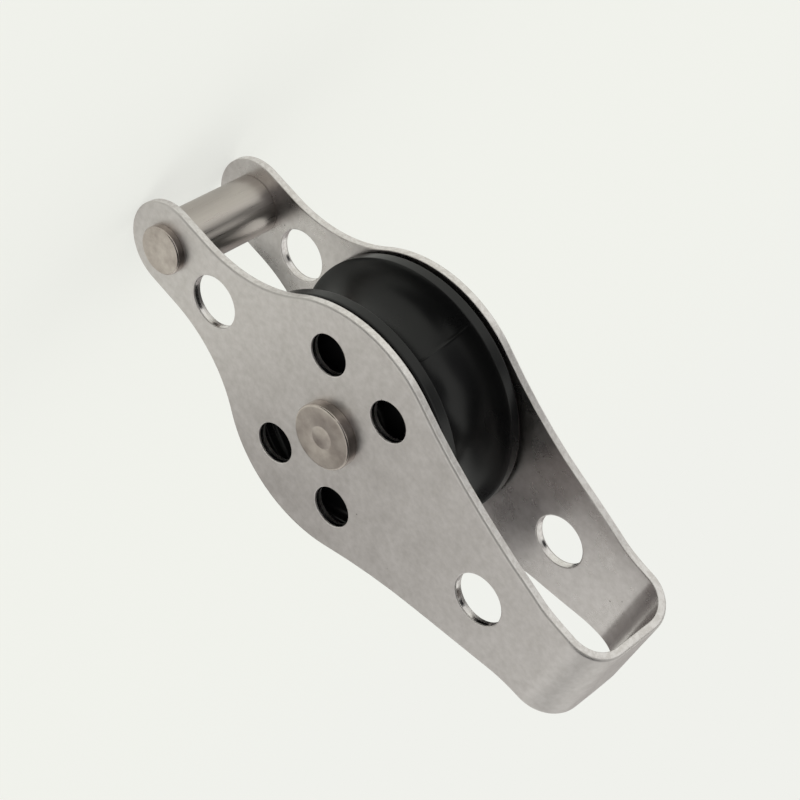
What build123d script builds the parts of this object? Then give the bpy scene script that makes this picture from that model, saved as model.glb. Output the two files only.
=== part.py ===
from build123d import *
import math
import os

# Single pulley: one wheel between the cheeks of a folded stainless strap.
# Millimetres. Origin on the axle, midway between the cheeks. +Y runs along the axle,
# +Z points from the axle to the folded head, and the becket end hangs at -Z.

# Strap: one stamped strip, folded into a U over the head
strip_thickness = 1.0
cheek_gap = 12.2
cheek_radius = 15.0
ear_radius = 5.2
shoulder_radius = 16.2
head_width = 11.6
head_reach = 36.9
head_fold_radius = 3.3
taper_run_out = 30.2
taper_blend_radius = 14.0
edge_break = 0.15

# Each flank leaves the round middle at this angle above the axle. The ratio says how
# gently it turns: 1 would be a sharp corner there, 2 one long arc down to the head.
flank_angle = 26.0
flank_turn_ratio = 1.33

# Holes through both cheeks
axle_to_head_eye = 23.0
axle_to_becket_eye = 18.7
axle_to_becket_pin = 26.6
eye_diameter = 6.0
drain_hole_diameter = 4.7
drain_hole_spread = 16.2
drain_hole_rise = 9.2

# Moulded wheel with a round rope groove, set in a little from the cheeks' round middle
rim_set_in = 0.2
groove_radius = 4.2
rim_side_gap = 0.4
rim_chamfer = 0.2
hub_side_gap = 0.1
hub_wall = 2.05
hub_chamfer = 0.2
side_recess_depth = 1.2
rim_land_width = 3.1
web_corner = 0.5
wheel_clearance = 0.05

# Axle rivet and the sleeve that the wheel turns on
axle_diameter = 5.0
axle_head_diameter = 7.5
axle_head_height = 1.3
axle_tail_diameter = 7.0
axle_tail_height = 1.1
axle_sleeve_wall = 1.05

# Becket rivet and the spacer tube that a rope's end is tied to
becket_pin_diameter = 3.8
becket_head_diameter = 5.5
becket_head_height = 0.95
becket_tail_diameter = 5.2
becket_tail_height = 0.8
becket_sleeve_wall = 1.35

rivet_clearance = 0.05
head_chamfer = 0.22
tail_lip = 0.25
sleeve_chamfer = 0.2

# How far stock and cutters run past the strap
cut_overrun = 1.0

half_gap = cheek_gap / 2
half_width = half_gap + strip_thickness
head_half = head_width / 2
axle_bore = axle_diameter / 2 + rivet_clearance
becket_bore = becket_pin_diameter / 2 + rivet_clearance


def hollow_turn(start, heading, end, ratio):
    """Arc end that leaves start at heading and lets a straight run on to end.

    Points are (x, z) and headings are angles from +Z, opening towards +X.
    """
    chord = math.atan2(end[0] - start[0], end[1] - start[1])
    turn = ratio * (chord - heading)
    new_heading = heading + turn
    run = (math.sin(new_heading), math.cos(new_heading))
    step = (
        math.cos(heading) - math.cos(new_heading),
        math.sin(new_heading) - math.sin(heading),
    )
    reach = (end[0] - start[0], end[1] - start[1])
    radius = (reach[0] * run[1] - reach[1] * run[0]) / (step[0] * run[1] - step[1] * run[0])
    return (start[0] + radius * step[0], start[1] + radius * step[1]), new_heading


def cheek_outline():
    """Flat outline that both cheeks and the folded head share, in the XZ plane."""
    ear_z = -axle_to_becket_pin
    top = head_reach + cut_overrun
    shoulder_x = ear_radius + shoulder_radius
    shoulder_z = -math.sqrt((cheek_radius + shoulder_radius) ** 2 - shoulder_x**2)
    share = cheek_radius / (cheek_radius + shoulder_radius)
    shoulder_end = (shoulder_x * share, shoulder_z * share)

    rise = math.radians(flank_angle)
    flank_start = (cheek_radius * math.cos(rise), cheek_radius * math.sin(rise))
    flank_end, taper_heading = hollow_turn(
        flank_start, -rise, (head_half, taper_run_out), flank_turn_ratio
    )
    trim = taper_blend_radius * math.tan(abs(taper_heading) / 2)
    blend_start = (
        head_half - trim * math.sin(taper_heading),
        taper_run_out - trim * math.cos(taper_heading),
    )
    blend_end = (head_half, taper_run_out + trim)

    with BuildSketch(Plane.XZ) as outline:
        with BuildLine():
            TangentArc((0, ear_z - ear_radius), (ear_radius, ear_z), tangent=(1, 0))
            Line((ear_radius, ear_z), (ear_radius, shoulder_z))
            TangentArc((ear_radius, shoulder_z), shoulder_end, tangent=(0, 1))
            ThreePointArc(shoulder_end, (cheek_radius, 0), flank_start)
            TangentArc(flank_start, flank_end, tangent=(-math.sin(rise), math.cos(rise)))
            Line(flank_end, blend_start)
            run = (math.sin(taper_heading), math.cos(taper_heading))
            TangentArc(blend_start, blend_end, tangent=run)
            Line(blend_end, (head_half, top))
            Line((head_half, top), (0, top))
            mirror(about=Plane.YZ)
        make_face()
    return outline.sketch


def folded_section(half_depth, top, fold_radius):
    """Solid block with the section of the U, rounded at its two upper corners."""
    foot = -axle_to_becket_pin - ear_radius - cut_overrun
    with BuildPart() as block:
        with BuildSketch(Plane.YZ):
            with Locations((0, (top + foot) / 2)):
                section = Rectangle(2 * half_depth, top - foot)
            fillet(section.vertices().group_by(Axis.Y)[-1], fold_radius)
        extrude(amount=cheek_radius + cut_overrun, both=True)
    return block.part


def through_hole(x, z, diameter):
    """Cutter for one round hole through both cheeks."""
    return Pos(x, 0, z) * Rot(90, 0, 0) * Cylinder(diameter / 2, 2 * (half_width + cut_overrun))


def is_outer_rim(edge):
    """True for the rims of holes and outline on the block, not for its straight seams.

    The straight seams are the fold lines along X and the lines along Y where the
    outline turns from one arc to the next.
    """
    if edge.geom_type != GeomType.LINE:
        return True
    along = edge.tangent_at(0)
    return abs(along.Z) > max(abs(along.X), abs(along.Y))


def make_cheek_strap():
    """Stamped strip folded into two cheeks, with its holes and softened outer rims."""
    block = folded_section(half_width, head_reach, head_fold_radius + strip_thickness)
    strap = block & extrude(cheek_outline(), half_width + cut_overrun, both=True)
    strap -= through_hole(0, axle_to_head_eye, eye_diameter)
    strap -= through_hole(0, -axle_to_becket_eye, eye_diameter)
    for side in (-1, 1):
        for end in (-1, 1):
            strap -= through_hole(
                side * drain_hole_spread / 2, end * drain_hole_rise / 2, drain_hole_diameter
            )
    strap = chamfer(strap.edges().filter_by(is_outer_rim), edge_break)
    strap -= folded_section(half_gap, head_reach - strip_thickness, head_fold_radius)
    strap -= through_hole(0, 0, 2 * axle_bore)
    strap -= through_hole(0, -axle_to_becket_pin, 2 * becket_bore)
    return strap


def make_sheave():
    """Moulded wheel: round groove, flat rim lands, recessed sides, raised hub faces."""
    bore = axle_bore + axle_sleeve_wall + wheel_clearance
    rim = cheek_radius - rim_set_in
    rim_half = half_gap - rim_side_gap
    hub_half = half_gap - hub_side_gap
    web_half = rim_half - side_recess_depth
    hub = bore + hub_wall
    recess = rim - rim_land_width
    with BuildPart() as wheel:
        with BuildSketch(Plane.XY):
            with BuildLine():
                Polyline(
                    (bore, 0),
                    (bore, hub_half),
                    (hub - hub_chamfer, hub_half),
                    (hub, hub_half - hub_chamfer),
                    (hub, web_half + web_corner),
                    (hub + web_corner, web_half),
                    (recess - web_corner, web_half),
                    (recess, web_half + web_corner),
                    (recess, rim_half),
                    (rim - rim_chamfer, rim_half),
                    (rim, rim_half - rim_chamfer),
                    (rim, groove_radius),
                )
                TangentArc((rim, groove_radius), (rim - groove_radius, 0), tangent=(-1, 0))
                mirror(about=Plane.XZ)
            make_face()
        revolve(axis=Axis.Y)
    return wheel.part


def make_rivet(diameter, head_diameter, head_height, tail_diameter, tail_height):
    """Rivet across both cheeks: turned flat head at -Y, peened button tail at +Y."""
    head = head_diameter / 2
    tail = tail_diameter / 2
    far = half_width + tail_height
    with BuildPart() as rivet:
        with BuildSketch(Plane.XY):
            with BuildLine():
                Polyline(
                    (0, far),
                    (0, -half_width - head_height),
                    (head - head_chamfer, -half_width - head_height),
                    (head, -half_width - head_height + head_chamfer),
                    (head, -half_width),
                    (diameter / 2, -half_width),
                    (diameter / 2, half_width),
                    (tail, half_width),
                    (tail, half_width + tail_lip),
                )
                TangentArc((0, far), (tail, half_width + tail_lip), tangent=(1, 0))
            make_face()
        revolve(axis=Axis.Y)
    return rivet.part


def make_sleeve(bore, wall):
    """Tube clamped between the cheeks on a rivet, with chamfered mouths."""
    with BuildPart() as sleeve:
        with BuildSketch(Plane.XY) as section:
            with Locations((bore + wall / 2, 0)):
                Rectangle(wall, cheek_gap)
            chamfer(section.vertices().group_by(Axis.X)[-1], sleeve_chamfer)
        revolve(axis=Axis.Y)
    return sleeve.part


def main():
    """Build every piece and write one file for each."""
    to_becket = Pos(0, 0, -axle_to_becket_pin)
    pieces = {
        "cheek_strap": make_cheek_strap(),
        "sheave": make_sheave(),
        "axle_rivet": make_rivet(
            axle_diameter,
            axle_head_diameter,
            axle_head_height,
            axle_tail_diameter,
            axle_tail_height,
        ),
        "axle_sleeve": make_sleeve(axle_bore, axle_sleeve_wall),
        "becket_rivet": to_becket
        * make_rivet(
            becket_pin_diameter,
            becket_head_diameter,
            becket_head_height,
            becket_tail_diameter,
            becket_tail_height,
        ),
        "becket_sleeve": to_becket * make_sleeve(becket_bore, becket_sleeve_wall),
    }
    os.makedirs("parts", exist_ok=True)
    for name, piece in pieces.items():
        export_step(piece, f"parts/{name}.step")


main()
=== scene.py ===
import logging
import math
from dataclasses import dataclass, field
from typing import Any

import bmesh
import bpy
from bmesh.types import BMesh, BMVert
from bpy.types import Material, Node, NodeSocket, NodeTree, Object
from mathutils import Matrix, Vector
from mathutils.geometry import delaunay_2d_cdt


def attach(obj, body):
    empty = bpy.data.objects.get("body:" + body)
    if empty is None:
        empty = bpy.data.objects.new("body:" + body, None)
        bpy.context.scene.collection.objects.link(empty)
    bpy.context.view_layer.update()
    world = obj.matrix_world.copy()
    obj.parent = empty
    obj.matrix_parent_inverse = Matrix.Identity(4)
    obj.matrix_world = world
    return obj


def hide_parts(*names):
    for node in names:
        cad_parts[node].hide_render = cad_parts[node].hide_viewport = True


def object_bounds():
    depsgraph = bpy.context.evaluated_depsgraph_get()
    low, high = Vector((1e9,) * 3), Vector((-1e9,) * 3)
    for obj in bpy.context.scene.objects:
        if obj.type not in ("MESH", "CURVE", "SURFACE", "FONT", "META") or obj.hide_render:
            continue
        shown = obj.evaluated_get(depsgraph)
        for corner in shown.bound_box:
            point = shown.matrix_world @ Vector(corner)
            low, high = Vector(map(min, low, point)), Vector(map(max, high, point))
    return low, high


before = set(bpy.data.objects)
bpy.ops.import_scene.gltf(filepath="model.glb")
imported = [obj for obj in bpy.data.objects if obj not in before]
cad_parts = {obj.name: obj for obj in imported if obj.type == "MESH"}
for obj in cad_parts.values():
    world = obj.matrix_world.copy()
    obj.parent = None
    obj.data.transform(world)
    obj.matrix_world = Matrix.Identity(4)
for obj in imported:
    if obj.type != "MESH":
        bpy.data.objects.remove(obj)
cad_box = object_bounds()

log = logging.getLogger("single_pulley")

MM = 0.001
WELD = 0.0005 * MM
# The triangulation's mode that fills what lies inside the outline
FILL_INSIDE = 1
# The Mix node's setting for colours
COLOURS = {"data_type": "RGBA"}

Pair = tuple[float, float]
Triple = tuple[float, float, float]
# Points of the flat pattern, each with the way into the material
Loop = list[tuple[Vector, Vector]]


def linear(hex_code: str) -> tuple[float, float, float, float]:
    """Turns an sRGB hex colour into linear RGBA.

    Args:
        hex_code: six hex digits after a hash, such as "#b4b2ad".

    Returns:
        Linear red, green, blue and an alpha of 1.
    """
    parts = [int(hex_code[i : i + 2], 16) / 255 for i in (1, 3, 5)]
    red, green, blue = (
        c / 12.92 if c <= 0.04045 else ((c + 0.055) / 1.055) ** 2.4 for c in parts
    )
    return (red, green, blue, 1.0)


def per_mm(size: float) -> float:
    """Texture scale at which a pattern's feature measures the given size.

    Args:
        size: feature size in millimetres.

    Returns:
        The scale to set where coordinates are in metres.
    """
    return 1.0 / (size * MM)


def add_node(
    tree: NodeTree,
    kind: str,
    settings: dict[Any, Any] | None = None,
    links: dict[Any, Any] | None = None,
) -> Node:
    """Adds one shader node to a tree, with its settings and its incoming links.

    Args:
        tree: the node tree that gets the node.
        kind: the node's type name, without the ShaderNode that all of them start with.
        settings: input socket names or numbers, or node attributes, and their values.
        links: input socket names or numbers, and what feeds them: an output socket, or a
            node whose first output in use does.

    Returns:
        The new node.
    """
    node = tree.nodes.new("ShaderNode" + kind)
    for key, value in (settings or {}).items():
        if isinstance(key, str) and hasattr(node, key):
            setattr(node, key, value)
        else:
            node.inputs[key].default_value = value
    for key, source in (links or {}).items():
        if isinstance(source, Node):
            source = next(out for out in source.outputs if out.enabled)
        tree.links.new(source, node.inputs[key])
    return node


def new_tree(name: str) -> tuple[Material, NodeTree]:
    """Starts a material.

    Args:
        name: the material's name.

    Returns:
        The material and its emptied node tree.
    """
    material = bpy.data.materials.new(name)
    material.use_nodes = True
    material.node_tree.nodes.clear()
    return material, material.node_tree


def span(limits: Pair, results: Pair = (0.0, 1.0)) -> dict[str, float]:
    """Settings with which a Map Range node leads one pair of limits to another.

    Args:
        limits: the values that go in.
        results: the values that come out there.

    Returns:
        The node's settings.
    """
    low, high = results
    return {"From Min": limits[0], "From Max": limits[1], "To Min": low, "To Max": high}


def specks(
    tree: NodeTree, place: NodeSocket, spacing: float, reach: float, core: float
) -> Node:
    """Scatters sparse small round specks.

    Args:
        tree: the material's tree.
        place: object coordinates in metres.
        spacing: rough distance between specks in mm.
        reach: radius of a speck as a share of the spacing.
        core: share of that radius up to which a speck is full.

    Returns:
        A node that gives 1 in a speck and 0 outside.
    """
    cells = add_node(tree, "TexVoronoi", {"Scale": per_mm(spacing)}, {"Vector": place})
    return add_node(tree, "MapRange", span((reach, reach * core)), {"Value": cells})


def add_surface(
    tree: NodeTree, settings: dict[str, float], colour: Node, rough: Node, bump: Node
) -> None:
    """Closes a material with its shader and output.

    Args:
        tree: the material's tree.
        settings: the shader's own settings.
        colour: node that gives the base colour.
        rough: node that gives the roughness.
        bump: node that gives the normal.
    """
    feeds = {"Base Color": colour, "Roughness": rough, "Normal": bump}
    shader = add_node(tree, "BsdfPrincipled", settings, feeds)
    add_node(tree, "OutputMaterial", links={"Surface": shader})


@dataclass(frozen=True)
class Noise:
    """A noise pattern: feature size in mm, octaves, and how strong the finer ones are."""

    size: float
    detail: float = 2.0
    roughness: float = 0.5

    def add(self, tree: NodeTree, place: Any) -> Node:
        """Adds the pattern to a tree.

        Args:
            tree: the material's tree.
            place: coordinates in metres.

        Returns:
            A node that gives about 0.3 to 0.7.
        """
        finer = {"Detail": self.detail, "Roughness": self.roughness}
        settings = {"Scale": per_mm(self.size)} | finer
        return add_node(tree, "TexNoise", settings, {"Vector": place})


@dataclass(frozen=True)
class StampedStainless:
    """Cold rolled 304 strip, blanked, folded and tumbled.

    Tumbling leaves a soft grey satin on the outside. The chips hardly reach between the
    cheeks or into the holes, so the inner faces keep the mill's half-bright finish. The
    outer part of each pierced wall stays burnished by the punch, and the rest is torn.
    The real grain is finer than 0.3 mm and is drawn coarser, so that a pixel holds it.
    The roll, burr, burnish and rim limits are shares of the strip's depth, from the
    outer face.
    """

    face: str = "#d5d0cf"
    face_shade: str = "#c5c0be"
    speck: str = "#928e8b"
    # Partly painted light: the cut walls' lighter tone stands in for light falling on them; its
    # patchy spread over the walls is random.
    edge: str = "#e6e2e1"
    edge_torn: str = "#d6d1cf"
    # Painted shade: a slightly darker colour for both rims of each cut wall.
    rim: str = "#d0ccca"
    roughness: float = 0.42
    inner_roughness: float = 0.28
    edge_roughness: float = 0.36
    pierced_roughness: float = 0.14
    rim_roughness: float = 0.65
    wear: Pair = (-0.03, 0.04)
    wear_limits: Pair = (0.3, 0.7)
    relief: float = 0.14
    relief_depth: float = 0.004
    cloud: Noise = Noise(3.0, 4.0, 0.55)
    mottle: Noise = Noise(0.8, 3.0, 0.6)
    mottle_share: float = 0.65
    haze_limits: Pair = (0.35, 0.65)
    grain: Noise = Noise(0.3, 3.0, 0.6)
    torn: Noise = Noise(0.55, 2.0, 0.7)
    torn_limits: Pair = (0.42, 0.6)
    scratch: Noise = Noise(0.16, 1.0)
    scratch_stretch: float = 0.05
    scratch_limits: Pair = (0.66, 0.76)
    scratch_angles: tuple[float, ...] = (0.5, 1.45, 2.5)
    scratch_depth: float = 0.6
    speck_spacing: float = 3.2
    speck_reach: float = 0.038
    speck_core: float = 0.5
    roll_limits: Pair = (0.12, 0.22)
    burr_limits: Pair = (0.98, 0.94)
    burnish_limits: Pair = (0.6, 0.5)
    rim_lines: tuple[Pair, ...] = ((0.11, 0.1), (0.955, 0.04))
    rim_core: float = 0.4

    def material(self) -> Material:
        """Builds the node material for the strap.

        Returns:
            The new material.
        """
        material, tree = new_tree("stamped_tumbled_stainless")
        place = add_node(tree, "TexCoord").outputs["Object"]
        depth = add_node(tree, "Attribute", {"attribute_name": "through"}).outputs["Fac"]
        pierced = add_node(tree, "Attribute", {"attribute_name": "pierced"}).outputs["Fac"]
        patterns = (self.cloud, self.mottle, self.grain, self.torn)
        cloud, mottle, grain, torn = (pattern.add(tree, place) for pattern in patterns)
        cut, shaded_dull_rims = self._cut_mask(tree, depth), self._shaded_rim_mask(tree, depth)

        haze = add_node(tree, "Mix", {0: self.mottle_share}, {2: cloud, 3: mottle})
        haze = add_node(tree, "MapRange", span(self.haze_limits), {"Value": haze})
        shades = {6: linear(self.face_shade), 7: linear(self.face)}
        face = add_node(tree, "Mix", COLOURS | shades, {0: haze})
        pits = specks(tree, place, self.speck_spacing, self.speck_reach, self.speck_core)
        pit = COLOURS | {7: linear(self.speck)}
        face = add_node(tree, "Mix", pit, {0: pits, 6: face})
        torn = add_node(tree, "MapRange", span(self.torn_limits), {"Value": torn})
        # Partly painted light: the walls' lighter tone.
        shades = {6: linear(self.edge), 7: linear(self.edge_torn)}
        edge = add_node(tree, "Mix", COLOURS | shades, {0: torn})
        colour = add_node(tree, "Mix", COLOURS, {0: cut, 6: face, 7: edge})
        # Painted shade: a darker line along both rims of every cut wall.
        rim = COLOURS | {7: linear(self.rim)}
        colour = add_node(tree, "Mix", rim, {0: shaded_dull_rims, 6: colour})

        sheet = {2: self.roughness, 3: self.inner_roughness}
        sheet = add_node(tree, "Mix", sheet, {0: depth})
        burnish = add_node(tree, "MapRange", span(self.burnish_limits), {"Value": depth})
        punched = {0: pierced, 1: burnish}
        burnished = add_node(tree, "Math", {"operation": "MULTIPLY"}, punched)
        wall = {2: self.edge_roughness, 3: self.pierced_roughness}
        wall = add_node(tree, "Mix", wall, {0: burnished})
        rough = add_node(tree, "Mix", links={0: cut, 2: sheet, 3: wall})
        rough = add_node(tree, "Mix", {3: self.rim_roughness}, {0: shaded_dull_rims, 2: rough})
        worn = add_node(tree, "MapRange", span(self.wear_limits, self.wear), {"Value": cloud})
        rough = add_node(tree, "Math", {"operation": "ADD"}, {0: rough, 1: worn})

        scratched = {0: self._scratches(tree, place), 2: grain}
        deeper = {"operation": "MULTIPLY_ADD", 1: -self.scratch_depth}
        height = add_node(tree, "Math", deeper, scratched)
        tumbled = add_node(tree, "Mix", {2: self.relief, 3: 0.0}, {0: depth})
        feeds = {"Height": height, "Strength": tumbled}
        bump = add_node(tree, "Bump", {"Distance": self.relief_depth * MM}, feeds)
        add_surface(tree, {"Metallic": 1.0}, colour, rough, bump)
        return material

    def _cut_mask(self, tree: NodeTree, depth: NodeSocket) -> Node:
        """Finds the cut walls by the depth share that the strap's mesh carries.

        Args:
            tree: the material's tree.
            depth: the depth share.

        Returns:
            A node that gives 1 on the cut walls and 0 on the sheet's two faces.
        """
        limits = (self.roll_limits, self.burr_limits)
        sides = [add_node(tree, "MapRange", span(one), {"Value": depth}) for one in limits]
        return add_node(tree, "Math", {"operation": "MULTIPLY"}, dict(enumerate(sides)))

    def _shaded_rim_mask(self, tree: NodeTree, depth: NodeSocket) -> Node:
        """Finds both rims of a cut wall, which get painted shade and a rougher finish.

        Args:
            tree: the material's tree.
            depth: the depth share.

        Returns:
            A node that gives 1 on the rims and 0 elsewhere.
        """
        shaded_dull_rims = []
        for middle, half in self.rim_lines:
            off = add_node(tree, "Math", {"operation": "SUBTRACT", 1: middle}, {0: depth})
            size = add_node(tree, "Math", {"operation": "ABSOLUTE"}, {0: off})
            limits = span((half, half * self.rim_core))
            shaded_dull_rims.append(add_node(tree, "MapRange", limits, {"Value": size}))
        return add_node(tree, "Math", {"operation": "MAXIMUM"}, dict(enumerate(shaded_dull_rims)))

    def _scratches(self, tree: NodeTree, place: NodeSocket) -> Node:
        """Fine tumbling scratches that run several ways over the cheeks.

        Args:
            tree: the material's tree.
            place: object coordinates in metres.

        Returns:
            A node that gives 1 in a scratch and 0 beside it.
        """
        ways = []
        for angle in self.scratch_angles:
            turn, stretch = (0.0, angle, 0.0), (1.0, 1.0, self.scratch_stretch)
            turned = add_node(tree, "Mapping", {"Rotation": turn}, {"Vector": place})
            drawn = add_node(tree, "Mapping", {"Scale": stretch}, {"Vector": turned})
            lines = {"Value": self.scratch.add(tree, drawn)}
            ways.append(add_node(tree, "MapRange", span(self.scratch_limits), lines))
        most = ways[0]
        for way in ways[1:]:
            most = add_node(tree, "Math", {"operation": "MAXIMUM"}, {0: most, 1: way})
        return most


@dataclass(frozen=True)
class TurnedStainless:
    """Rivet turned from 303 bar and tumbled lightly.

    The tool leaves faint rings round the axis, and the grade has a warmer cast than the
    strip. The sides are smooth enough to mirror the room.
    """

    name: str
    centre_z: float
    colour: str = "#c8bfb8"
    ring: str = "#a69b95"
    roughness: float = 0.27
    side_roughness: float = 0.12
    roughness_spread: float = 0.08
    end_face_limits: Pair = (0.5, 0.97)
    ring_pitch: float = 0.42
    ring_share: float = 0.12
    relief: float = 0.35
    relief_depth: float = 0.012
    mottle: Noise = Noise(1.6, 4.0, 0.6)
    patch_limits: Pair = (0.28, 0.68)

    def material(self) -> Material:
        """Builds the node material for one rivet.

        Returns:
            The new material.
        """
        material, tree = new_tree(self.name)
        coords = add_node(tree, "TexCoord")
        place = coords.outputs["Object"]
        to_axis = {"Location": (0.0, 0.0, -self.centre_z * MM)}
        centred = add_node(tree, "Mapping", to_axis, {"Vector": place})
        across = {"operation": "MULTIPLY", 1: (1.0, 0.0, 1.0)}
        flat = add_node(tree, "VectorMath", across, {0: centred})
        radius = add_node(tree, "VectorMath", {"operation": "LENGTH"}, {0: flat})
        pitch = {"operation": "MULTIPLY", 1: 2 * math.pi / (self.ring_pitch * MM)}
        turns = add_node(tree, "Math", pitch, {0: radius})
        wave = add_node(tree, "Math", {"operation": "SINE"}, {0: turns})

        mottle = self.mottle.add(tree, place)
        patch = add_node(tree, "MapRange", span(self.patch_limits), {"Value": mottle})
        shades = {6: linear(self.ring), 7: linear(self.colour)}
        colour = add_node(tree, "Mix", COLOURS | shades, {0: patch})

        to_head = {"operation": "DOT_PRODUCT", 1: (0.0, -1.0, 0.0)}
        facing = add_node(tree, "VectorMath", to_head, {0: coords.outputs["Normal"]})
        end_face = add_node(tree, "MapRange", span(self.end_face_limits), {"Value": facing})
        base = {2: self.side_roughness, 3: self.roughness}
        base = add_node(tree, "Mix", base, {0: end_face})
        spread = {"operation": "MULTIPLY_ADD", 1: self.roughness_spread}
        rough = add_node(tree, "Math", spread, {0: mottle, 2: base})

        rings = {"operation": "MULTIPLY_ADD", 1: self.ring_share}
        height = add_node(tree, "Math", rings, {0: wave, 2: mottle})
        relief = {"Strength": self.relief, "Distance": self.relief_depth * MM}
        bump = add_node(tree, "Bump", relief, {"Height": height})
        add_surface(tree, {"Metallic": 1.0}, colour, rough, bump)
        return material


@dataclass(frozen=True)
class DrawnTube:
    """Drawn stainless tube, cut to length.

    The die leaves fine lines along the tube, so highlights stay long and slightly broken.
    """

    light: str = "#c9c2bd"
    dark: str = "#b5aea9"
    roughness: Pair = (0.26, 0.38)
    relief: float = 0.08
    relief_depth: float = 0.004
    lines: Noise = Noise(0.22, 3.0, 0.6)
    line_limits: Pair = (0.3, 0.7)
    line_stretch: float = 0.03

    def material(self) -> Material:
        """Builds the node material for the two tubes.

        Returns:
            The new material.
        """
        material, tree = new_tree("drawn_stainless_tube")
        place = add_node(tree, "TexCoord").outputs["Object"]
        stretch = {"Scale": (1.0, self.line_stretch, 1.0)}
        lines = self.lines.add(tree, add_node(tree, "Mapping", stretch, {"Vector": place}))
        shades = {6: linear(self.dark), 7: linear(self.light)}
        colour = add_node(tree, "Mix", COLOURS | shades, {0: lines})
        gloss = span(self.line_limits, self.roughness)
        rough = add_node(tree, "MapRange", gloss, {"Value": lines})
        relief = {"Strength": self.relief, "Distance": self.relief_depth * MM}
        bump = add_node(tree, "Bump", relief, {"Height": lines})
        add_surface(tree, {"Metallic": 1.0}, colour, rough, bump)
        return material


@dataclass(frozen=True)
class MouldedNylon:
    """Black glass-free nylon 6, injection moulded.

    The mould's fine spark texture gives a low even sheen, and dust shows as pale specks.
    """

    colour: str = "#0d0d0e"
    dust: str = "#565550"
    roughness: Pair = (0.25, 0.36)
    ior: float = 1.53
    sheen: float = 0.3
    relief: float = 0.3
    relief_depth: float = 0.01
    texture: Noise = Noise(0.35, 3.0)
    flow: Noise = Noise(5.0)
    flow_limits: Pair = (0.3, 0.7)
    dust_spacing: float = 3.4
    dust_reach: float = 0.028
    dust_core: float = 0.6

    def material(self) -> Material:
        """Builds the node material for the wheel.

        Returns:
            The new material.
        """
        material, tree = new_tree("moulded_black_nylon")
        place = add_node(tree, "TexCoord").outputs["Object"]
        dusty = specks(tree, place, self.dust_spacing, self.dust_reach, self.dust_core)
        shades = {6: linear(self.colour), 7: linear(self.dust)}
        colour = add_node(tree, "Mix", COLOURS | shades, {0: dusty})
        gloss = span(self.flow_limits, self.roughness)
        rough = add_node(tree, "MapRange", gloss, {"Value": self.flow.add(tree, place)})
        relief = {"Strength": self.relief, "Distance": self.relief_depth * MM}
        bump = add_node(tree, "Bump", relief, {"Height": self.texture.add(tree, place)})
        shine = {"IOR": self.ior, "Specular IOR Level": self.sheen}
        add_surface(tree, shine, colour, rough, bump)
        return material


@dataclass(frozen=True)
class StudioPaper:
    """Matte off-white paper sweep under the object.

    Part of its light is its own, more to the camera than in reflections. So the ground
    reads as the photograph's pale background with a faint shadow, and metal close to it
    mirrors the full one. Over the two distances of the fade, in metres, all of its light
    becomes its own.
    """

    colour: str = "#f0f1ec"
    own_light: float = 0.72
    own_light_mirrored: float = 0.4
    fade: Pair = (0.12, 0.5)

    def material(self) -> Material:
        """Builds the node material for the floor.

        Returns:
            The new material.
        """
        material, tree = new_tree("matte_studio_paper")
        paper = {"Color": linear(self.colour)}
        diffuse = add_node(tree, "BsdfDiffuse", paper)
        glow = add_node(tree, "Emission", paper | {"Strength": 1.0})
        place = add_node(tree, "TexCoord").outputs["Object"]
        away = add_node(tree, "VectorMath", {"operation": "LENGTH"}, {0: place})
        camera = add_node(tree, "LightPath").outputs["Is Camera Ray"]
        lights = {2: self.own_light_mirrored, 3: self.own_light}
        near = add_node(tree, "Mix", lights, {0: camera})
        fade = {"interpolation_type": "SMOOTHSTEP"} | span(self.fade)
        own = add_node(tree, "MapRange", fade, {"Value": away, "To Min": near})
        shown = {0: seen_directly(tree), 1: own}
        share = add_node(tree, "Math", {"operation": "MULTIPLY"}, shown)
        mixed = add_node(tree, "MixShader", links={0: share, 1: diffuse, 2: glow})
        add_node(tree, "OutputMaterial", links={"Surface": mixed})
        return material


def seen_directly(tree: NodeTree) -> Node:
    """Tells the rays that show the background from those that light the object.

    Args:
        tree: a material's or the world's tree.

    Returns:
        A node that gives 1 for camera, glossy and transmission rays and 0 for others.
    """
    path = add_node(tree, "LightPath").outputs
    bent = {0: path["Is Glossy Ray"], 1: path["Is Transmission Ray"]}
    mirrored = add_node(tree, "Math", {"operation": "MAXIMUM"}, bent)
    rays = {0: path["Is Camera Ray"], 1: mirrored}
    return add_node(tree, "Math", {"operation": "MAXIMUM"}, rays)


def new_object(name: str, data: Any) -> Object:
    """Puts an object with the given data in the scene.

    Args:
        name: the object's name.
        data: its mesh, light or camera.

    Returns:
        The new object.
    """
    made = bpy.data.objects.new(name, data)
    bpy.context.scene.collection.objects.link(made)
    return made


def finished_piece(name: str, made: BMesh) -> Object:
    """Turns a mesh in the making into a smooth-shaded piece of the scene.

    Args:
        name: the piece's name.
        made: the mesh, which is freed.

    Returns:
        The new object.
    """
    bmesh.ops.recalc_face_normals(made, faces=made.faces)
    for face in made.faces:
        face.smooth = True
    mesh = bpy.data.meshes.new(name)
    made.to_mesh(mesh)
    made.free()
    return new_object(name, mesh)


def bridge(made: BMesh, rings: list[list[BMVert]]) -> None:
    """Joins each ring of points to the next with quads.

    Args:
        made: the mesh in the making.
        rings: the rings, with as many points each.
    """
    for here, beyond in zip(rings, rings[1:]):
        for index in range(len(here)):
            ahead = (index + 1) % len(here)
            made.faces.new((here[index], here[ahead], beyond[ahead], beyond[index]))


@dataclass(frozen=True)
class Corner:
    """One corner of a turned profile, at a radius and a place along the axle, in mm."""

    radius: float
    along: float
    rounding: float = 0.0


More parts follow.
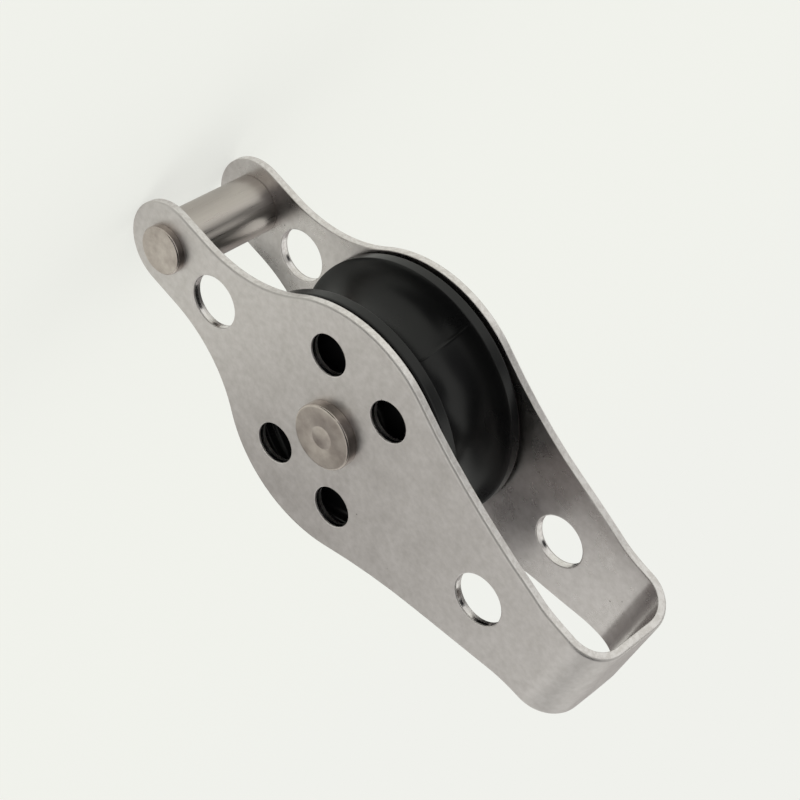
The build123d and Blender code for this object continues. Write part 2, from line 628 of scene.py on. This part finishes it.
@dataclass
class Lathe:
    """Turns a closed profile of corners round an axis parallel to the axle."""

    profile: list[Corner]
    centre_z: float = 0.0
    segments: int = 192
    arc_steps: int = 6
    support: float = 0.08
    extra_turns: list[float] = field(default_factory=list)

    def points(self) -> list[Pair]:
        """Rounds the corners and adds a support point beside each rounding.

        Returns:
            Radius and place along the axis of each point of the closed section, in mm.
        """
        corners = self.profile
        made: list[Pair] = []
        for index, corner in enumerate(corners):
            here = Vector((corner.radius, corner.along))
            before = corners[index - 1]
            after = corners[(index + 1) % len(corners)]
            back = Vector((before.radius, before.along)) - here
            ahead = Vector((after.radius, after.along)) - here
            if corner.rounding <= 0:
                made.append((here.x, here.y))
                continue
            back_run, ahead_run = back.length, ahead.length
            back.normalize()
            ahead.normalize()
            half = back.angle(ahead) / 2
            trim = corner.rounding / math.tan(half)
            middle = here + (back + ahead).normalized() * (corner.rounding / math.sin(half))
            start, end = here + back * trim, here + ahead * trim
            if back_run - trim > 2 * self.support:
                made.append(tuple(start + back * self.support))
            first, last = start - middle, end - middle
            sweep = first.angle_signed(last)
            for step in range(self.arc_steps + 1):
                turn = -sweep * step / self.arc_steps
                spun = Matrix.Rotation(turn, 2) @ first
                made.append(tuple(middle + spun))
            if ahead_run - trim > 2 * self.support:
                made.append(tuple(end + ahead * self.support))
        return made

    def build(self, name: str) -> Object:
        """Makes the turned mesh in the shared frame, in metres.

        Args:
            name: the piece's name.

        Returns:
            The new object.
        """
        section = self.points()
        made = bmesh.new()
        rings = []
        turns = [2 * math.pi * step / self.segments for step in range(self.segments)]
        for angle in sorted(turns + self.extra_turns):
            ring = []
            for radius, along in section:
                x, z = radius * math.sin(angle), self.centre_z + radius * math.cos(angle)
                ring.append(made.verts.new((x * MM, along * MM, z * MM)))
            rings.append(ring)
        bridge(made, rings + rings[:1])
        bmesh.ops.remove_doubles(made, verts=made.verts, dist=WELD)
        return finished_piece(name, made)


@dataclass
class OutlinePen:
    """Draws one flank of the flat strip with tangent arcs and straights, in mm.

    Points are (across, along). Headings are angles from the strip's length, opening
    outwards, and the material lies on the left of the way the pen moves.
    """

    at: Vector
    heading: float
    arc_step: float = math.radians(3.0)
    fewest_steps: int = 4
    drawn: Loop = field(default_factory=list)

    def mark(self) -> None:
        """Notes the place where the pen is now."""
        inwards = Vector((-math.cos(self.heading), math.sin(self.heading)))
        self.drawn.append((self.at.copy(), inwards))

    def line(self, length: float, pieces: int = 1) -> None:
        """Draws straight on.

        Args:
            length: length in mm.
            pieces: number of equal pieces that it is divided into.
        """
        ahead = Vector((math.sin(self.heading), math.cos(self.heading)))
        for _ in range(pieces):
            self.mark()
            self.at += ahead * (length / pieces)

    def arc(self, radius: float, heading: float) -> None:
        """Draws an arc that turns to a new heading.

        Args:
            radius: arc radius in mm, below zero where it turns to the left.
            heading: heading at the arc's end, in radians.
        """
        first, start = self.heading, self.at.copy()
        steps = max(self.fewest_steps, math.ceil(abs(heading - first) / self.arc_step))
        for step in range(steps):
            self.mark()
            self.heading = first + (heading - first) * (step + 1) / steps
            out = math.cos(first) - math.cos(self.heading)
            self.at = start + radius * Vector((out, math.sin(self.heading) - math.sin(first)))


@dataclass
class Hole:
    """One punched hole, in the flat pattern's mm."""

    across: float
    along: float
    diameter: float
    segments: int = 72

    def loop(self) -> Loop:
        """Gives the hole's rim.

        Returns:
            The rim's points, each with the way into the material.
        """
        centre = Vector((self.across, self.along))
        turns = [2 * math.pi * step / self.segments for step in range(self.segments)]
        ways = [Vector((math.cos(turn), math.sin(turn))) for turn in turns]
        return [(centre + way * (self.diameter / 2), way) for way in ways]

    def holds(self, point: Vector, inset: float) -> bool:
        """Tells whether a point of the flat pattern is inside the hole or its rim."""
        reach = self.diameter / 2 + inset
        return (point - Vector((self.across, self.along))).length < reach


def eased(stops: tuple[Pair, ...], at: float) -> float:
    """Reads a value that runs smoothly from stop to stop.

    Args:
        stops: places and the values there, in rising order.
        at: the place that is asked for.

    Returns:
        The value there, which stays level before the first stop and after the last.
    """
    for (start, first), (end, last) in zip(stops, stops[1:]):
        if at < end:
            share = max((at - start) / (end - start), 0.0)
            return first + (last - first) * share * share * (3 - 2 * share)
    return stops[-1][1]


@dataclass
class Strap:
    """The folded strap, made as it is in the press: blanked flat, pierced, then folded.

    Sizes in mm. The punch rolls the outer face over, more along the outline than at the
    holes, and leaves the inner face's rim nearly sharp. The head sits a little to one
    side, so one flank is drawn in over the head and the other stands out below it. Both
    leave the holes where they are.
    """

    strip: float = 1.0
    gap: float = 12.2
    cheek_radius: float = 15.0
    ear_radius: float = 5.2
    shoulder_radius: float = 16.2
    head_half: float = 5.8
    head_reach: float = 36.9
    fold_radius: float = 3.3
    taper_run_out: float = 30.2
    taper_blend_radius: float = 14.0
    flank_angle: float = 26.0
    flank_turn_ratio: float = 1.33
    becket: float = 26.6
    head_eye: float = 23.0
    becket_eye: float = 18.7
    eye: float = 6.0
    drain: float = 4.7
    drain_spread: float = 16.2
    drain_rise: float = 9.2
    axle_bore: float = 5.1
    becket_bore: float = 3.9
    roll_in: float = 0.3
    roll_depth: float = 0.24
    hole_roll: float = 0.09
    burr_round: float = 0.07
    fracture_draft: float = 0.03
    burnish_share: float = 0.55
    support: float = 0.1
    roll_support: float = 0.06
    burr_support: float = 0.05
    skew_reach: float = 5.8
    skew_start: float = 3.2
    drawn_in: tuple[Pair, ...] = (
        (30.0, 0.0), (41.0, 0.55), (45.0, 1.3), (50.0, 0.5), (54.0, 0.3), (61.0, 0.6), (72.0, 0.0)
    )
    stands_out: tuple[Pair, ...] = (
        (13.0, 0.0), (22.0, -0.1), (27.0, 0.15), (32.0, 0.5), (39.0, 0.1),
        (44.0, 0.1), (50.5, 0.65), (56.0, 0.4), (66.0, 0.0),
    )
    round_steps: int = 5
    burr_steps: int = 3
    fold_steps: int = 14
    taper_pieces: int = 4
    fold_margin: float = 1.0
    fill_tolerance: float = 1e-6
    finish: StampedStainless = field(default_factory=StampedStainless)

    @property
    def fold_start(self) -> float:
        """Height at which the cheeks turn into the fold."""
        return self.head_reach - self.strip - self.fold_radius

    @property
    def fold_length(self) -> float:
        """Length of one bend along the middle of the strip."""
        return (self.fold_radius + self.strip / 2) * math.pi / 2

    @property
    def middle(self) -> float:
        """Place along the flat pattern that ends up midway over the head."""
        return self.fold_start + self.fold_length + self.gap / 2 - self.fold_radius

    def bend(self, place: Vector, depth: float) -> Triple:
        """Folds one point of the flat pattern into the shared frame.

        Args:
            place: place across the strip and along it, from the axle on the first cheek.
            depth: depth under the outer face.

        Returns:
            The point in metres.
        """
        across, along = place
        flank = (abs(across) - self.skew_start) / (self.skew_reach - self.skew_start)
        flank = min(max(flank, 0.0), 1.0)
        across -= flank * eased(self.drawn_in if across > 0 else self.stands_out, along)
        side = -1.0
        if along > self.middle:
            side, along = 1.0, 2 * self.middle - along
        outer = self.gap / 2 + self.strip
        radius = self.fold_radius + self.strip - depth
        past = along - self.fold_start
        if past <= 0:
            y, z = outer - depth, along
        elif past < self.fold_length:
            turn = past / self.fold_length * math.pi / 2
            y = outer - self.fold_radius - self.strip + radius * math.cos(turn)
            z = self.fold_start + radius * math.sin(turn)
        else:
            y, z = self.middle - along, self.fold_start + radius
        return (across * MM, side * y * MM, z * MM)

    def flank(self) -> Loop:
        """Draws one flank from the ear's lowest point to the middle of the head.

        Returns:
            The flank's points, each with the way into the material.
        """
        pen = OutlinePen(Vector((0.0, -self.becket - self.ear_radius)), math.pi / 2)
        pen.arc(-self.ear_radius, 0.0)
        shoulder_x = self.ear_radius + self.shoulder_radius
        reach = self.cheek_radius + self.shoulder_radius
        shoulder_z = -math.sqrt(reach**2 - shoulder_x**2)
        pen.line(shoulder_z - pen.at.y)
        pen.arc(self.shoulder_radius, math.atan2(-shoulder_z, shoulder_x))
        rise = math.radians(self.flank_angle)
        pen.arc(-self.cheek_radius, -rise)

        reach_x = self.head_half - pen.at.x
        reach_z = self.taper_run_out - pen.at.y
        chord = math.atan2(reach_x, reach_z)
        taper = self.flank_turn_ratio * (chord + rise) - rise
        run_x, run_z = math.sin(taper), math.cos(taper)
        step_x = math.cos(rise) - math.cos(taper)
        step_z = math.sin(taper) + math.sin(rise)
        turn = (reach_x * run_z - reach_z * run_x) / (step_x * run_z - step_z * run_x)
        pen.arc(turn, taper)
        trim = self.taper_blend_radius * math.tan(abs(taper) / 2)
        left = Vector((self.head_half, self.taper_run_out)) - pen.at
        pen.line(left.length - trim, self.taper_pieces)
        pen.arc(self.taper_blend_radius, 0.0)
        pen.line(self.middle - pen.at.y, 2 * self.fold_steps)
        pen.mark()
        return pen.drawn

    def outline(self) -> Loop:
        """Gives the flat pattern's whole edge.

        Returns:
            The edge's points, each with the way into the material.
        """
        half = self.flank()
        for point, way in reversed(half[:-1]):
            over = Vector((point.x, 2 * self.middle - point.y))
            half.append((over, Vector((way.x, -way.y))))
        back = [(Vector((-p.x, p.y)), Vector((-n.x, n.y))) for p, n in reversed(half[1:-1])]
        return half + back

    def holes(self) -> list[Hole]:
        """Lists the holes of both cheeks in the flat pattern.

        Returns:
            The holes, first cheek first.
        """
        one = [
            Hole(0.0, 0.0, self.axle_bore),
            Hole(0.0, -self.becket, self.becket_bore),
            Hole(0.0, self.head_eye, self.eye),
            Hole(0.0, -self.becket_eye, self.eye),
        ]
        spread, rise = self.drain_spread / 2, self.drain_rise / 2
        for across in (-spread, spread):
            one.extend(Hole(across, along, self.drain) for along in (-rise, rise))
        other = [Hole(h.across, 2 * self.middle - h.along, h.diameter) for h in one]
        return one + other

    def rim(self, roll_in: float, roll_depth: float) -> list[Pair]:
        """Gives the section of a cut rim.

        Args:
            roll_in: how far in from the wall the outer face starts to roll over.
            roll_depth: how deep the rolled rim runs into the wall.

        Returns:
            Inset and depth of each point, from the outer face to the inner one.
        """
        section = [(roll_in + self.support, 0.0)]
        for step in range(self.round_steps + 1):
            turn = math.pi / 2 * step / self.round_steps
            section.append((roll_in * (1 - math.sin(turn)), roll_depth * (1 - math.cos(turn))))
        section.append((0.0, roll_depth + self.roll_support))
        section.append((0.0, self.burnish_share * self.strip))
        burr_start = self.strip - self.burr_round - self.burr_support
        section.append((self.fracture_draft, burr_start))
        for step in range(self.burr_steps + 1):
            turn = math.pi / 2 * step / self.burr_steps
            inset = self.fracture_draft + self.burr_round * (1 - math.cos(turn))
            section.append((inset, self.strip - self.burr_round * (1 - math.sin(turn))))
        section.append((self.fracture_draft + self.burr_round + self.support, self.strip))
        return section

    def build(self) -> None:
        """Builds the strap, dresses it and hands it to the frame's body."""
        made = bmesh.new()
        made.verts.layers.float.new("through")
        pierced = made.verts.layers.float.new("pierced")
        holes = self.holes()
        edge = self.rim(self.roll_in, self.roll_depth)
        hole_edge = self.rim(self.hole_roll, self.hole_roll)
        loops = [self.outline()] + [hole.loop() for hole in holes]
        sections = [edge] + [hole_edge for _ in holes]
        for loop, section in zip(loops, sections):
            for vert in self._rim_faces(made, loop, section):
                vert[pierced] = float(section is hole_edge)
        for end in (0, -1):
            insets = [section[end][0] for section in sections]
            self._sheet_face(made, loops, insets, edge[end][1])
        bmesh.ops.remove_doubles(made, verts=made.verts, dist=WELD)
        piece = finished_piece("folded_strap", made)
        dress(piece, self.finish.material())
        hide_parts("cheek_strap")
        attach(piece, "frame")
        log.info("built %s", piece.name)

    def _vert(self, made: BMesh, place: Vector, depth: float) -> BMVert:
        """Adds the folded point of a place in the flat pattern.

        Args:
            made: the mesh in the making.
            place: place in the flat pattern.
            depth: depth under the outer face.

        Returns:
            The point, which carries its depth share.
        """
        vert = made.verts.new(self.bend(place, depth))
        vert[made.verts.layers.float["through"]] = depth / self.strip
        return vert

    def _rim_faces(self, made: BMesh, loop: Loop, section: list[Pair]) -> list[BMVert]:
        """Makes the rounded rim and cut wall along one loop.

        Args:
            made: the mesh in the making.
            loop: the loop.
            section: inset and depth of each point of the rim's section.

        Returns:
            The points of the wall, without those that lie in the sheet's two faces.
        """
        rings = []
        for inset, depth in section:
            rings.append([self._vert(made, point + way * inset, depth) for point, way in loop])
        bridge(made, rings)
        return [vert for ring in rings[1:-1] for vert in ring]

    def _sheet_face(
        self, made: BMesh, loops: list[Loop], insets: list[float], depth: float
    ) -> None:
        """Fills one face of the sheet between its rims.

        Ties across the fold keep its triangles narrow, so that they bend with it.

        Args:
            made: the mesh in the making.
            loops: the outline and the holes' rims.
            insets: for each loop, how far the filling stays off its wall.
            depth: depth of this face under the outer one.
        """
        flat: list[Vector] = []
        edges: list[tuple[int, int]] = []
        for loop, inset in zip(loops, insets):
            first, count = len(flat), len(loop)
            flat.extend(point + way * inset for point, way in loop)
            edges.extend((first + i, first + (i + 1) % count) for i in range(count))
        outline = loops[0]
        start = self.fold_start - self.fold_margin
        for index in range(1, len(outline) // 2):
            if start < outline[index][0].y < 2 * self.middle - start:
                edges.append((index, len(outline) - index))
        filled = delaunay_2d_cdt(flat, edges, [], FILL_INSIDE, self.fill_tolerance)
        places, triangles = filled[0], filled[2]
        verts = [self._vert(made, place, depth) for place in places]
        holes = list(zip(self.holes(), insets[1:]))
        for triangle in triangles:
            middle = sum((places[i] for i in triangle), Vector((0.0, 0.0))) / len(triangle)
            if not any(hole.holds(middle, inset) for hole, inset in holes):
                made.faces.new([verts[i] for i in triangle])


@dataclass
class Wheel:
    """The moulded wheel with rounded rims, sizes in mm."""

    radius: float = 14.8
    groove: float = 4.2
    rim_half: float = 5.7
    hub_half: float = 6.0
    web_half: float = 4.5
    bore: float = 3.65
    hub: float = 5.7
    recess: float = 11.7
    rim_rounding: float = 0.3
    recess_rounding: float = 0.2
    web_rounding: float = 0.5
    hub_rounding: float = 0.2
    bore_rounding: float = 0.15
    groove_lip: float = 0.1
    segments: int = 256
    groove_steps: int = 40
    parting_turn: float = math.radians(-81.0)
    parting_rise: float = 0.05
    parting_half: float = 0.11
    parting_end: float = 0.3
    parting_shares: tuple[float, ...] = (-1.0, -0.45, 0.0, 0.45, 1.0)
    on_groove: float = 0.01
    finish: MouldedNylon = field(default_factory=MouldedNylon)

    def parting_turns(self) -> list[float]:
        """Turns at which the wheel gets extra sections for its two parting lines.

        Returns:
            The turns, in radians from the upright.
        """
        floor = self.radius - self.groove
        turns = []
        for line in (self.parting_turn, self.parting_turn + math.pi):
            for share in self.parting_shares:
                turns.append((line + share * self.parting_half / floor) % (2 * math.pi))
        return turns

    def raise_parting_lines(self, piece: Object) -> None:
        """Raises the two thin ridges that the mould's halves leave across the groove.

        Args:
            piece: the wheel's mesh object.
        """
        half = self.parting_half / (self.radius - self.groove)
        for vert in piece.data.vertices:
            place = vert.co / MM
            radius = math.hypot(place.x, place.z)
            off = (math.atan2(place.x, place.z) - self.parting_turn) % math.pi
            off = min(off, math.pi - off) / half
            reach = math.hypot(self.radius - radius, place.y)
            in_groove = abs(reach - self.groove) < self.on_groove
            if off < 1 - self.on_groove and in_groove and radius < self.radius - self.parting_end:
                lift = self.parting_rise * (1 - off * off)
                raised = radius + lift * (self.radius - radius) / reach
                along = place.y * (1 - lift / reach)
                x, z = place.x * raised / radius, place.z * raised / radius
                vert.co = Vector((x, along, z)) * MM

    def profile(self) -> list[Corner]:
        """Section of the wheel, from the bore round to the bore again.

        Returns:
            The corners in order.
        """
        side = [
            Corner(self.bore, self.hub_half, self.bore_rounding),
            Corner(self.hub, self.hub_half, self.hub_rounding),
            Corner(self.hub, self.web_half, self.web_rounding),
            Corner(self.recess, self.web_half, self.web_rounding),
            Corner(self.recess, self.rim_half, self.recess_rounding),
            Corner(self.radius, self.rim_half, self.rim_rounding),
            Corner(self.radius, self.groove + self.groove_lip, self.groove_lip),
        ]
        groove = []
        for step in range(1, self.groove_steps):
            angle = math.pi * step / self.groove_steps
            radius = self.radius - self.groove * math.sin(angle)
            groove.append(Corner(radius, self.groove * math.cos(angle)))
        far = [Corner(c.radius, -c.along, c.rounding) for c in reversed(side)]
        return side + groove + far

    def build(self) -> None:
        """Builds the wheel and hands it to the wheel's body."""
        turns = self.parting_turns()
        lathe = Lathe(self.profile(), segments=self.segments, extra_turns=turns)
        piece = lathe.build("moulded_wheel")
        self.raise_parting_lines(piece)
        dress(piece, self.finish.material())
        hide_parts("sheave")
        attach(piece, "wheel")
        log.info("built %s", piece.name)


@dataclass
class Rivet:
    """A rivet with a turned flat head on the first cheek and a peened tail, in mm."""

    node: str
    name: str
    shank: float
    head: float
    head_height: float
    tail: float
    tail_height: float
    centre_z: float = 0.0
    outer: float = 7.1
    rim_round: float = 0.24
    tail_lip: float = 0.25
    tail_round: float = 0.12
    seat_bevel: float = 0.05
    seat_round: float = 0.04
    centre_ring: float = 0.35
    ring_half: float = 0.12
    ring_depth: float = 0.02
    ring_round: float = 0.05
    segments: int = 128
    dome_steps: int = 8

    def profile(self) -> list[Corner]:
        """Section of the rivet from the head's centre to the tail's centre.

        Returns:
            The corners in order.
        """
        face = -self.outer - self.head_height
        radius, tail = self.head / 2, self.tail / 2
        ring, bevel = radius * self.centre_ring, self.seat_bevel
        corners = [
            Corner(0.0, face),
            Corner(ring - self.ring_half, face),
            Corner(ring, face + self.ring_depth, self.ring_round),
            Corner(ring + self.ring_half, face),
            Corner(radius, face, self.rim_round),
            Corner(radius, -self.outer + bevel, self.seat_round),
            Corner(radius - bevel, -self.outer),
            Corner(self.shank / 2, -self.outer),
            Corner(self.shank / 2, self.outer),
            Corner(tail - bevel, self.outer),
            Corner(tail, self.outer + bevel),
            Corner(tail, self.outer + self.tail_lip, self.tail_round),
        ]
        rise = self.tail_height - self.tail_lip
        for step in range(1, self.dome_steps + 1):
            turn = math.pi / 2 * step / self.dome_steps
            along = self.outer + self.tail_lip + rise * math.sin(turn)
            corners.append(Corner(tail * math.cos(turn), along))
        return corners

    def build(self) -> None:
        """Builds the rivet, dresses it and hands it to the frame's body."""
        piece = Lathe(self.profile(), self.centre_z, self.segments).build(self.name)
        dress(piece, TurnedStainless(self.name + "_finish", self.centre_z).material())
        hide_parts(self.node)
        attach(piece, "frame")
        log.info("built %s", piece.name)


@dataclass
class Tube:
    """A tube that a rivet clamps between the cheeks, in mm."""

    node: str
    name: str
    bore: float
    outside: float
    finish: DrawnTube
    centre_z: float = 0.0
    half: float = 6.1
    rim_round: float = 0.1
    bore_round: float = 0.04
    segments: int = 128

    def build(self) -> None:
        """Builds the tube, dresses it and hands it to the frame's body."""
        inner, outer = self.bore / 2, self.outside / 2
        profile = [
            Corner(inner, -self.half, self.bore_round),
            Corner(outer, -self.half, self.rim_round),
            Corner(outer, self.half, self.rim_round),
            Corner(inner, self.half, self.bore_round),
        ]
        piece = Lathe(profile, self.centre_z, self.segments).build(self.name)
        dress(piece, self.finish.material())
        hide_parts(self.node)
        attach(piece, "frame")
        log.info("built %s", piece.name)


@dataclass
class Hardware:
    """The two rivets and the two tubes that they clamp, sizes in mm."""

    becket_z: float = -26.6

    def build(self) -> None:
        """Builds the rivets and the tubes."""
        Rivet(
            "axle_rivet", "axle_rivet_turned",
            shank=5.0, head=7.5, head_height=1.3, tail=7.0, tail_height=1.1,
        ).build()
        Rivet(
            "becket_rivet", "becket_rivet_turned",
            shank=3.8, head=5.5, head_height=0.95, tail=5.2, tail_height=0.8,
            centre_z=self.becket_z,
        ).build()
        tube = DrawnTube()
        Tube("axle_sleeve", "axle_sleeve_drawn", bore=5.1, outside=7.2, finish=tube).build()
        Tube(
            "becket_sleeve", "becket_tube_drawn",
            bore=3.9, outside=6.6, finish=tube, centre_z=self.becket_z,
        ).build()


def lay_sheet(name: str, corners: list[Triple], material: Material) -> Object:
    """Lays one four-sided sheet of the studio.

    Args:
        name: the sheet's name.
        corners: its corners in metres.
        material: its material.

    Returns:
        The new object.
    """
    mesh = bpy.data.meshes.new(name)
    mesh.from_pydata(corners, [], [(0, 1, 2, 3)])
    sheet = new_object(name, mesh)
    dress(sheet, material)
    return sheet


def dress(piece: Object, material: Material) -> None:
    """Gives a piece one material and drops those that it came with.

    Args:
        piece: a mesh object.
        material: its new material.
    """
    piece.data.materials.clear()
    piece.data.materials.append(material)


@dataclass
class Softbox:
    """One square lamp behind a diffuser, so metal shows no bright square of its own.

    Sizes and places in metres.
    """

    name: str
    place: Triple
    size: float
    power: float
    colour: str = "#ffffff"

    def build(self) -> None:
        """Hangs the lamp and turns it to the object."""
        data = bpy.data.lights.new(self.name, "AREA")
        data.shape = "SQUARE"
        data.size = self.size
        data.energy = self.power
        data.color = linear(self.colour)[:3]
        lamp = new_object(self.name, data)
        lamp.location = self.place
        lamp.rotation_mode = "QUATERNION"
        lamp.rotation_quaternion = (-Vector(self.place)).to_track_quat("-Z", "Y")
        lamp.visible_glossy = False


@dataclass
class ReflectedShadeCard:
    """A sheet that glows at a fixed tone: painted shade in the metal's reflections.

    Only reflections see it, and they see its own tone, so it adds no noise of its own.
    Corners are in mm, with the height above the floor.
    """

    name: str
    colour: str
    corners: tuple[Triple, ...]
    lift: float = 0.3

    def build(self, floor: float) -> None:
        """Puts the card in its place.

        Args:
            floor: height of the floor in metres.
        """
        places = [(x * MM, y * MM, floor + (z + self.lift) * MM) for x, y, z in self.corners]
        card = lay_sheet(self.name, places, self.material())
        card.visible_camera = False
        card.visible_diffuse = False
        card.visible_shadow = False

    def material(self) -> Material:
        """Builds the node material for the card.

        Returns:
            The new material.
        """
        material, tree = new_tree("matte_" + self.name)
        # Painted shade: the card's own glow, not lamp light, gives the tone that reflections show.
        tone = add_node(tree, "Emission", {"Color": linear(self.colour), "Strength": 1.0})
        add_node(tree, "OutputMaterial", links={"Surface": tone})
        return material


@dataclass(frozen=True)
class Zone:
    """A round zone of the room, seen from the object.

    It has the direction of its middle and the cosines of the angles at its rim and core.
    """

    towards: Triple
    rim: float
    core: float

    def mask(self, tree: NodeTree, way: NodeSocket) -> Node:
        """Marks the zone.

        Args:
            tree: the world's tree.
            way: the direction that is looked in.

        Returns:
            A node that gives 1 in the zone and 0 outside.
        """
        middle = {"operation": "DOT_PRODUCT", 1: self.towards}
        near = add_node(tree, "VectorMath", middle, {0: way})
        limits = {"interpolation_type": "SMOOTHSTEP"} | span((self.rim, self.core))
        return add_node(tree, "MapRange", limits, {"Value": near})


@dataclass
class Studio:
    """Floor, room, lamps and camera round the object.

    The camera's place and lens are in mm, and the floor and the clipping in metres.
    """

    floor_half: float = 12.0
    camera_place: Triple = (-182.92, -152.01, 54.67)
    camera_right: Triple = (-0.3691, 0.66226, 0.65205)
    camera_up: Triple = (-0.55604, 0.40482, -0.72591)
    lens: float = 105.18
    sensor: float = 36.0
    clip: Pair = (0.01, 60.0)
    room: str = "#f0f1ec"
    dark: str = "#2b2b2d"
    photographer_tone: str = "#777779"
    open_top: Zone = Zone((0.03, -0.62, 0.785), 0.66, 0.9)
    photographer: Zone = Zone((-0.74, -0.62, 0.25), 0.8, 0.93)
    doorway: Zone = Zone((-0.61, 0.63, 0.47), 0.95, 0.99)
    fill_strength: float = 1.1
    softboxes: list[Softbox] = field(
        default_factory=lambda: [
            Softbox("back_softbox", (-1.0, 0.8, 0.3), 1.0, 2.8),
            Softbox("front_softbox", (0.9, -0.95, 0.3), 1.0, 2.8),
        ]
    )
    # Painted shade in reflections: grey_card and dark_card stand for the shadowed floor on the +X
    # side,
    # black_card darkens the floor's reflection toward the camera, ear_card stands for the contact
    # shadow
    # by the becket end, and flag_card for the shade round the wheel between the cheeks;
    # upright_card paints a grey reflection into the fold's crown and the tube.
    cards: list[ReflectedShadeCard] = field(
        default_factory=lambda: [
            ReflectedShadeCard("grey_card", "#85817e", ((55, -35, 0), (230, -290, 0), (420, 60, 0), (55, 4, 0))),
            ReflectedShadeCard("dark_card", "#4c4a4a", ((20, 12, 0), (300, 130, 0), (300, 400, 0), (20, 40, 0))),
            ReflectedShadeCard(
                "upright_card", "#a19d9a",
                ((139, 222, 0), (243, 100, 0), (243, 100, 200), (139, 222, 200)),
            ),
            ReflectedShadeCard(
                "black_card", "#1b1a1b",
                ((-12, -14, 0), (-150, -95, 0), (-150, -150, 0), (-12, -150, 0)),
            ),
            ReflectedShadeCard(
                "ear_card", "#0c0b0b",
                ((16, -6.5, 0), (34, -6.5, 0), (34, -6.5, 8.5), (19, -6.5, 8.5)),
            ),
            ReflectedShadeCard(
                "flag_card", "#4a4748",
                ((14.5, -6.6, 40), (22, -6.6, 40), (22, -6.6, 50.5), (9.5, -6.6, 50.5)),
            ),
        ]
    )

    def build(self, lowest: float) -> None:
        """Sets up the whole studio.

        Args:
            lowest: height of the object's lowest point, where the floor lies, in metres.
        """
        self._floor(lowest)
        for card in self.cards:
            card.build(lowest)
        self._world()
        for softbox in self.softboxes:
            softbox.build()
        self._camera()
        bpy.context.scene.view_settings.view_transform = "Standard"
        log.info("built the studio")

    def _floor(self, height: float) -> None:
        """Lays the paper floor.

        Args:
            height: its height in metres.
        """
        half = self.floor_half
        corners = [(-half, -half), (half, -half), (half, half), (-half, half)]
        corners = [(x, y, height) for x, y in corners]
        floor = lay_sheet("paper_floor", corners, StudioPaper().material())

    def _world(self) -> None:
        """Gives the room pale walls with a dim open top, and plain fill light."""
        world = bpy.data.worlds.new("studio_room")
        bpy.context.scene.world = world
        world.use_nodes = True
        tree = world.node_tree
        tree.nodes.clear()
        way = add_node(tree, "TexCoord").outputs["Generated"]
        dark_zones = {0: self.open_top.mask(tree, way), 1: self.doorway.mask(tree, way)}
        dim = add_node(tree, "Math", {"operation": "MAXIMUM"}, dark_zones)
        tones = {6: linear(self.room), 7: linear(self.photographer_tone)}
        manned = {0: self.photographer.mask(tree, way)}
        manned = add_node(tree, "Mix", COLOURS | tones, manned)
        dark = COLOURS | {7: linear(self.dark)}
        mirrored = add_node(tree, "Mix", dark, {0: dim, 6: manned})
        camera = add_node(tree, "LightPath").outputs["Is Camera Ray"]
        pale = COLOURS | {7: linear(self.room)}
        shown = add_node(tree, "Mix", pale, {0: camera, 6: mirrored})
        room = add_node(tree, "Background", {"Strength": 1.0}, {"Color": shown})
        plain = {"Color": linear(self.room), "Strength": self.fill_strength}
        fill = add_node(tree, "Background", plain)
        mixed = {0: seen_directly(tree), 1: fill, 2: room}
        mixed = add_node(tree, "MixShader", links=mixed)
        add_node(tree, "OutputWorld", links={"Surface": mixed})

    def _camera(self) -> None:
        """Places the camera where the photograph was taken from."""
        data = bpy.data.cameras.new("photo_camera")
        data.lens = self.lens
        data.sensor_width = self.sensor
        data.clip_start, data.clip_end = self.clip
        camera = new_object("photo_camera", data)
        right, up = Vector(self.camera_right), Vector(self.camera_up)
        away = right.cross(up)
        turn = Matrix((right, up, away)).transposed()
        camera.matrix_world = Matrix.Translation(Vector(self.camera_place) * MM) @ turn.to_4x4()
        bpy.context.scene.camera = camera


def main() -> None:
    """Builds the sub-assemblies and the studio in order."""
    logging.basicConfig(level=logging.INFO, format="%(name)s: %(message)s")
    Strap().build()
    Wheel().build()
    Hardware().build()
    Studio().build(cad_box[0].z)


if __name__ == "__main__":
    main()
